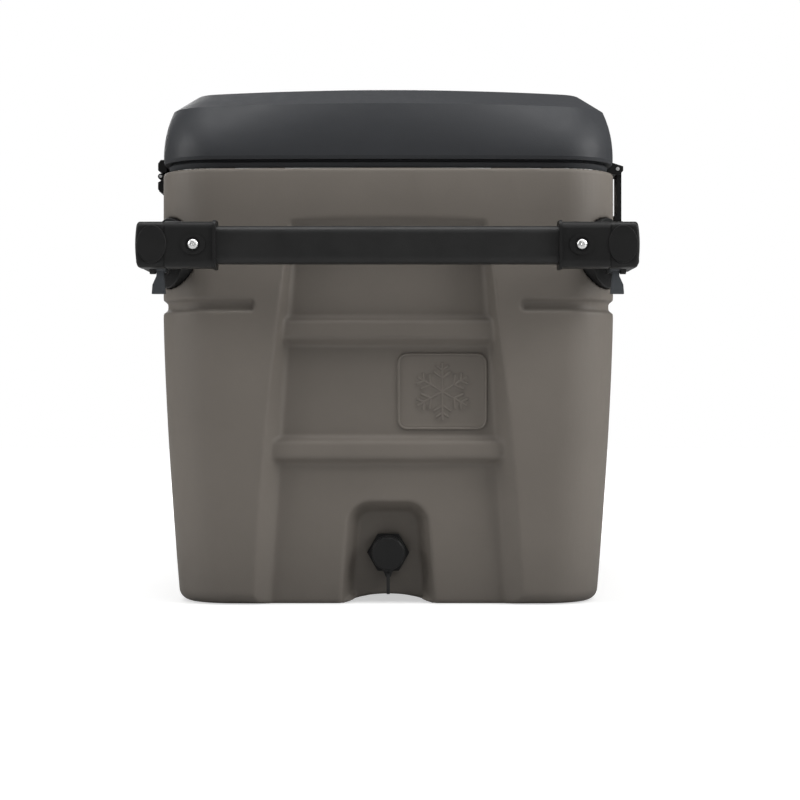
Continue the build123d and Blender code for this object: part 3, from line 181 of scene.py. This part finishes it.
def foam_material(name, colour):
    """Rigid foam: rough, with small cells."""
    graph = Graph(name)
    cells = graph.node("ShaderNodeTexVoronoi")
    cells.inputs["Scale"].default_value = 420.0
    graph.link(graph.coords.outputs["Object"], cells.inputs["Vector"])
    graph.drive("Base Color", graph.tone(colour, graph.noise(scale=25.0), 0.85, 1.1))
    graph.set("Roughness", 0.9)
    cell_depth = 0.0008
    graph.bump([(cells.outputs["Distance"], cell_depth)])
    return graph.material


def coated_metal(name, colour, roughness):
    """Powder coat: orange-peel bump and slightly varying gloss."""
    graph = Graph(name)
    patches = graph.noise(scale=16.0, detail=5.0)
    graph.drive("Base Color", graph.tone(colour, patches, 0.85, 1.2))
    gloss = graph.noise(scale=60.0, detail=6.0, roughness=0.7)
    graph.drive("Roughness", graph.spread(gloss, roughness - 0.06, roughness + 0.08))
    peel_depth = 0.0003
    graph.bump([(graph.noise(scale=650.0, detail=1.0), peel_depth)])
    graph.set("Specular IOR Level", 0.28)
    return graph.material


def satin_steel(name, colour, roughness):
    """Plated steel with fine lines and slightly varying gloss."""
    graph = Graph(name)
    graph.set("Metallic", 1.0)
    lines = graph.noise(scale=500.0, detail=3.0, roughness=0.6)
    graph.drive("Base Color", graph.tone(colour, lines, 0.86, 1.06))
    gloss = graph.noise(scale=90.0, detail=5.0)
    graph.drive("Roughness", graph.spread(gloss, roughness - 0.06, roughness + 0.1))
    line_depth = 0.00015
    graph.bump([(lines, line_depth)])
    return graph.material


# --- Finishes -------------------------------------------------------------------------------
TAUPE = (0.180, 0.160, 0.138)
SLATE = (0.036, 0.038, 0.042)
BLACK = (0.015, 0.015, 0.015)
HANDLE_BLACK = (0.020, 0.020, 0.020)
LEVER_GREY = (0.070, 0.077, 0.085)
OFF_WHITE = (0.66, 0.66, 0.63)
SEAL_BLACK = (0.018, 0.018, 0.018)
TYRE_BLACK = (0.020, 0.020, 0.021)
FOAM = (0.74, 0.64, 0.38)
ZINC = (0.92, 0.92, 0.91)

# slot: (colour, roughness, grain scale, grain depth, colour variation, shine)
PLASTICS = {
    "body_plastic": (TAUPE, 0.58, 800.0, 0.0003, 0.05, 0.4),
    "lid_plastic": (SLATE, 0.5, 850.0, 0.0003, 0.06, 0.3),
    "liner_plastic": (OFF_WHITE, 0.32, 300.0, 0.0001, 0.03, 0.4),
    "rubber_seal": (SEAL_BLACK, 0.6, 1200.0, 0.0002, 0.15, 0.4),
    "tyre_rubber": (TYRE_BLACK, 0.75, 700.0, 0.0004, 0.2, 0.4),
    "lever_plastic": (LEVER_GREY, 0.45, 800.0, 0.00015, 0.12, 0.4),
    "black_plastic": (BLACK, 0.45, 900.0, 0.0002, 0.15, 0.22),
}
FINISHES = {slot: moulded_plastic(slot, *look) for slot, look in PLASTICS.items()}
FINISHES["foam"] = foam_material("foam", FOAM)
FINISHES["handle_paint"] = coated_metal("handle_paint", HANDLE_BLACK, roughness=0.42)
FINISHES["steel"] = satin_steel("steel", ZINC, roughness=0.38)

slot_of = {entry["node"]: entry["material_slot"] for entry in frame["record"]["subparts"]}
for name, obj in nodes.items():
    obj.data.materials.clear()
    obj.data.materials.append(FINISHES[slot_of[name]])


# --- Soft edges on small mouldings and castings ---------------------------------------------
ROUND_WIDTHS = {
    "handle_corner": 0.0009,
    "handle_corner_plug": 0.0006,
    "pivot_guide": 0.0007,
    "pivot_housing": 0.0006,
    "lock_lever": 0.0007,
    "latch_front": 0.0006,
    "latch_rear": 0.0006,
    "latch_brackets": 0.0005,
    "latch_keepers": 0.0005,
    "hinge_body_leaves": 0.0005,
    "hinge_lid_leaves": 0.0005,
    "drain_fitting": 0.0005,
    "wheel_rim": 0.0008,
}
ROUND_ANGLE = math.radians(32)
WELD_REACH = 0.00001


def round_edges(obj, width):
    """Joins the faces at their shared corners, then bevels the sharp edges."""
    weld = obj.modifiers.new("weld", "WELD")
    weld.merge_threshold = WELD_REACH
    bevel = obj.modifiers.new("round", "BEVEL")
    bevel.width = width
    bevel.segments = 2
    bevel.limit_method = "ANGLE"
    bevel.angle_limit = ROUND_ANGLE
    bevel.use_clamp_overlap = True


for name, obj in nodes.items():
    width = ROUND_WIDTHS.get(name) or ROUND_WIDTHS.get(name.rsplit("_", 1)[0])
    if width:
        round_edges(obj, width)


# --- The tub's moulded skin -----------------------------------------------------------------
VOXEL = 0.0020
SKIN_FACES = 170000
SMOOTH_ROUNDS = 4
RIM_BAND = 0.012
RIM_HELD = 0.5  # share of the band, from the rim down, that hardly moves
HUB_GUARD = 0.045
AXLE_GUARD = 0.022
GUARD_FADE = 0.01
LEAST_FREE = 0.05
FREE_STEPS = 10


def evaluated_mesh(obj):
    """The mesh as its modifiers leave it."""
    depsgraph = bpy.context.evaluated_depsgraph_get()
    return bpy.data.meshes.new_from_object(obj.evaluated_get(depsgraph))


def apply_modifiers(obj):
    obj.data = evaluated_mesh(obj)
    obj.modifiers.clear()


def ramp(distance, guard):
    """Least inside the guard distance, rising to 1 just beyond it."""
    return np.clip((distance - guard) / GUARD_FADE, LEAST_FREE, 1)


def softness(points):
    """How freely each point may move: hardly at the rim, the pivots' seats or the axle."""
    rim_z = points[:, 2].max()
    free = np.clip((rim_z - points[:, 2]) / RIM_BAND - RIM_HELD, LEAST_FREE, 1)
    for side in ("left", "right"):
        low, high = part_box("pivot_housing_" + side)
        centre = np.array([(a + b) / 2 for a, b in zip(low, high)])
        distance = np.linalg.norm(points - centre, axis=1)
        free = np.minimum(free, ramp(distance, HUB_GUARD))
    low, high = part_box("axle")
    axle_y, axle_z = (low[1] + high[1]) / 2, (low[2] + high[2]) / 2
    from_axle = np.hypot(points[:, 1] - axle_y, points[:, 2] - axle_z)
    return np.minimum(free, ramp(from_axle, AXLE_GUARD))


def voxel_remesh(obj):
    remesh = obj.modifiers.new("voxels", "REMESH")
    remesh.mode = "VOXEL"
    remesh.voxel_size = VOXEL
    apply_modifiers(obj)


def group_by_softness(obj):
    """Puts the points into the vertex group "free", weighted in steps by softness."""
    points = np.empty(len(obj.data.vertices) * 3)
    obj.data.vertices.foreach_get("co", points)
    group = obj.vertex_groups.new(name="free")
    steps = np.round(softness(points.reshape(-1, 3)) * FREE_STEPS).astype(int)
    for step in range(1, FREE_STEPS + 1):
        group.add(np.nonzero(steps == step)[0].tolist(), step / FREE_STEPS, "REPLACE")


def soften_and_thin(obj):
    """Smooths the freed points, then reduces the faces."""
    smooth = obj.modifiers.new("smooth", "SMOOTH")
    smooth.factor = 0.5
    smooth.iterations = SMOOTH_ROUNDS
    smooth.vertex_group = "free"
    fewer = obj.modifiers.new("fewer", "DECIMATE")
    fewer.ratio = SKIN_FACES / (2 * len(obj.data.polygons))
    apply_modifiers(obj)
    obj.vertex_groups.clear()


def make_skin():
    """The outer shell with its moulded edges rounded: voxels, smoothing, then fewer faces."""
    skin = link_object("moulded_skin", nodes["outer_shell"].data.copy())
    voxel_remesh(skin)
    group_by_softness(skin)
    soften_and_thin(skin)
    skin.data.materials.clear()
    skin.data.materials.append(FINISHES["body_plastic"])
    skin.data.shade_smooth()
    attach(skin, "tub")
    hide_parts("outer_shell")


# --- Emblem ---------------------------------------------------------------------------------
EMBLEM_X, EMBLEM_Z = 0.057, 0.223
EMBLEM_HALF_W, EMBLEM_HALF_H = 0.046, 0.039
EMBLEM_CORNER = 0.009
CORNER_STEPS = 6
CLEAR_OF_STROKES = (0.8, 0.75)  # a bare place on the emblem, in its half width and height
FLAKE_ARM = 0.030
FLAKE_BRANCHES = ((0.48, 0.011), (0.75, 0.008))  # share along the arm, length
BRANCH_LEAN = 55
RELIEF = 0.0017
EMBLEM_LIFT = 0.0003


def add_line(curve, points, closed=False):
    """One straight-sided stroke through (x, z) points."""
    spline = curve.splines.new("POLY")
    spline.points.add(len(points) - 1)
    for point, (x, z) in zip(spline.points, points):
        point.co = (x, 0, z, 1)
    spline.use_cyclic_u = closed


def rounded_frame(half_w, half_h, corner):
    points = []
    for turn, (sx, sz) in enumerate(((1, 1), (-1, 1), (-1, -1), (1, -1))):
        for step in range(CORNER_STEPS + 1):
            angle = math.radians(90 * (turn + step / CORNER_STEPS))
            x = sx * (half_w - corner) + corner * math.cos(angle)
            z = sz * (half_h - corner) + corner * math.sin(angle)
            points.append((x, z))
    return points


def flake_strokes():
    """Six arms, each with two pairs of side branches."""
    strokes = []
    for i in range(6):
        angle = math.radians(90 + 60 * i)
        out = Vector((math.cos(angle), math.sin(angle)))
        strokes.append([(0, 0), tuple(out * FLAKE_ARM)])
        for share, length in FLAKE_BRANCHES:
            start = out * FLAKE_ARM * share
            for side in (-1, 1):
                turned = angle + side * math.radians(BRANCH_LEAN)
                end = start + Vector((math.cos(turned), math.sin(turned))) * length
                strokes.append([tuple(start), tuple(end)])
    return strokes


def recess_floor_y():
    """Where the recess floor lies behind the emblem, away from its strokes."""
    along, up = CLEAR_OF_STROKES
    start = Vector((EMBLEM_X - EMBLEM_HALF_W * along, -1, EMBLEM_Z - EMBLEM_HALF_H * up))
    _, hit, _, _ = nodes["outer_shell"].ray_cast(start, Vector((0, 1, 0)))
    return hit.y


def make_emblem(floor_y):
    """A raised snowflake in a rounded frame, on the recess floor."""
    curve = bpy.data.curves.new("emblem", "CURVE")
    curve.dimensions = "3D"
    curve.bevel_depth = RELIEF
    curve.bevel_resolution = 3
    curve.use_fill_caps = True
    for stroke in flake_strokes():
        add_line(curve, stroke)
    add_line(curve, rounded_frame(EMBLEM_HALF_W, EMBLEM_HALF_H, EMBLEM_CORNER), closed=True)
    holder = link_object("emblem_curve", curve)
    mesh = evaluated_mesh(holder)
    bpy.data.objects.remove(holder)
    mesh.transform(Matrix.Translation((EMBLEM_X, floor_y - EMBLEM_LIFT, EMBLEM_Z)))
    mesh.materials.append(FINISHES["body_plastic"])
    emblem = link_object("raised_emblem", mesh)
    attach(emblem, "tub")


make_emblem(recess_floor_y())
make_skin()


# --- Rivets ---------------------------------------------------------------------------------
RIVET_SEGMENTS = 48
RIVET_SHANK_R = 0.003
RIVET_HEAD_H = 0.0026
DIMPLE_R, DIMPLE_DEPTH = 0.0013, 0.0006
DIMPLE_FLOOR = 0.8  # the dimple's flat floor, as a share of its radius
DOME_STEPS = 10


def head_profile(head_r):
    """(radius, distance behind the tip) from the dimple in the middle out to the shank."""
    profile = [(0.0, DIMPLE_DEPTH), (DIMPLE_R * DIMPLE_FLOOR, DIMPLE_DEPTH)]
    start = math.asin(DIMPLE_R / head_r)
    for step in range(DOME_STEPS + 1):
        angle = start + (math.pi / 2 - start) * step / DOME_STEPS
        profile.append((head_r * math.sin(angle), RIVET_HEAD_H * (1 - math.cos(angle))))
    profile.append((RIVET_SHANK_R, RIVET_HEAD_H))
    return profile


def lathe_y(profile, centre_x, centre_z):
    """Vertices and faces of (radius, y) pairs turned about an axis along Y."""
    points, faces, rings = [], [], []
    for radius, y in profile:
        count = RIVET_SEGMENTS if radius > 0 else 1
        rings.append(range(len(points), len(points) + count))
        for i in range(count):
            angle = 2 * math.pi * i / count
            x, z = radius * math.cos(angle), radius * math.sin(angle)
            points.append((centre_x + x, y, centre_z + z))
    for near, far in zip(rings, rings[1:]):
        for i in range(RIVET_SEGMENTS):
            j = (i + 1) % RIVET_SEGMENTS
            corners = [near[j % len(near)], near[i % len(near)]]
            corners += [far[i % len(far)], far[j % len(far)]]
            faces.append(list(dict.fromkeys(corners)))
    return points, faces


def make_rivets():
    """Domed rivets with a dimple at each end, through the handle's two sleeves."""
    low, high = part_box("handle_rivets")
    head_r = (high.z - low.z) / 2
    half = head_profile(head_r)
    profile = [(radius, low.y + back) for radius, back in half]
    profile += [(radius, high.y - back) for radius, back in reversed(half)]
    points, faces = [], []
    for centre_x in (low.x + head_r, high.x - head_r):
        more, added = lathe_y(profile, centre_x, (low.z + high.z) / 2)
        faces += [[corner + len(points) for corner in face] for face in added]
        points += more
    mesh = bpy.data.meshes.new("domed_rivets")
    mesh.from_pydata(points, [], faces)
    mesh.shade_smooth()
    mesh.materials.append(FINISHES["steel"])
    rivets = link_object("domed_rivets", mesh)
    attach(rivets, "tow_handle")
    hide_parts("handle_rivets")


make_rivets()


# --- Studio ---------------------------------------------------------------------------------
WHITE = (1, 1, 1, 1)
FLOOR_HALF = 6.0
FLOOR_Z = -0.0005
FLOOR_GREYS = ((0.60, 0.60, 0.60), (0.63, 0.63, 0.63))
FLOOR_FADE = (0.5, 1.6)  # distances from the origin between which the glow grows
FLOOR_GLOW = (0.55, 1.0)
SKY_SEEN, SKY_LIGHT = 1.0, 0.16
LIT_POINT = (0, 0, 0.27)
# name: (location, (width, height), power)
LIGHTS = {
    "right": ((2.3, -1.0, 1.5), (1.2, 1.4), 46),
    "left": ((-2.3, -0.9, 1.4), (1.2, 1.4), 26),
    "front": ((0.9, -2.5, 2.2), (1.4, 1.0), 6),
    "top": ((0.0, -0.5, 2.4), (2.2, 1.2), 34),
    "back": ((-0.8, 2.8, 1.6), (1.8, 1.4), 30),
}


def floor_material():
    """Pale matt floor that the camera sees fade to white away from the object."""
    graph = Graph("floor")
    patches = graph.spread(graph.noise(scale=3.0), 0.0, 1.0)
    graph.drive("Base Color", graph.mix(patches, *FLOOR_GREYS))
    graph.set("Roughness", 0.9)
    distance = graph.node("ShaderNodeVectorMath", operation="LENGTH")
    graph.link(graph.coords.outputs["Object"], distance.inputs[0])
    glow = graph.remap(distance.outputs["Value"], FLOOR_FADE, FLOOR_GLOW)
    path = graph.node("ShaderNodeLightPath")
    seen = graph.node("ShaderNodeMath", operation="MULTIPLY")
    graph.link(glow, seen.inputs[0])
    graph.link(path.outputs["Is Camera Ray"], seen.inputs[1])
    graph.set("Emission Color", WHITE)
    graph.drive("Emission Strength", seen.outputs["Value"])
    return graph.material


def make_floor():
    mesh = bpy.data.meshes.new("floor")
    corners = [(-1, -1), (1, -1), (1, 1), (-1, 1)]
    points = [(x * FLOOR_HALF, y * FLOOR_HALF, FLOOR_Z) for x, y in corners]
    mesh.from_pydata(points, [], [(0, 1, 2, 3)])
    mesh.materials.append(floor_material())
    link_object("floor", mesh)


def area_light(name, location, size, power):
    """A rectangular light that faces the object."""
    data = bpy.data.lights.new(name, "AREA")
    data.shape = "RECTANGLE"
    data.size, data.size_y = size
    data.energy = power
    light = link_object(name, data)
    light.location = location
    direction = Vector(LIT_POINT) - Vector(location)
    light.rotation_euler = direction.to_track_quat("-Z", "Y").to_euler()


def make_sky():
    """White as the camera sees it, dimmer as a source of light."""
    world = bpy.context.scene.world or bpy.data.worlds.new("world")
    bpy.context.scene.world = world
    world.use_nodes = True
    tree = world.node_tree
    background = tree.nodes["Background"]
    background.inputs["Color"].default_value = WHITE
    path = tree.nodes.new("ShaderNodeLightPath")
    level = tree.nodes.new("ShaderNodeMix")
    level.inputs["A"].default_value = SKY_LIGHT
    level.inputs["B"].default_value = SKY_SEEN
    tree.links.new(path.outputs["Is Camera Ray"], level.inputs["Factor"])
    tree.links.new(level.outputs["Result"], background.inputs["Strength"])


def make_studio():
    make_floor()
    make_sky()
    for name, (location, size, power) in LIGHTS.items():
        area_light(name, location, size, power)
    bpy.context.scene.view_settings.view_transform = "Standard"


# --- Camera ---------------------------------------------------------------------------------
CAMERA_X, CAMERA_Z = 0.0125, 0.214
CAMERA_DISTANCE = 1.90  # ahead of the handle's tube
LENS_MM, SENSOR_MM = 85.3, 36.0


def make_camera():
    """Level camera facing the drain end, a little below the chest's mid height."""
    tube_low, tube_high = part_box("handle_tube")
    tube_y = (tube_low.y + tube_high.y) / 2
    data = bpy.data.cameras.new("camera")
    data.sensor_width = SENSOR_MM
    data.lens = LENS_MM
    camera = link_object("camera", data)
    camera.location = (CAMERA_X, tube_y - CAMERA_DISTANCE, CAMERA_Z)
    camera.rotation_euler = (math.radians(90), 0, 0)
    bpy.context.scene.camera = camera


make_studio()
make_camera()
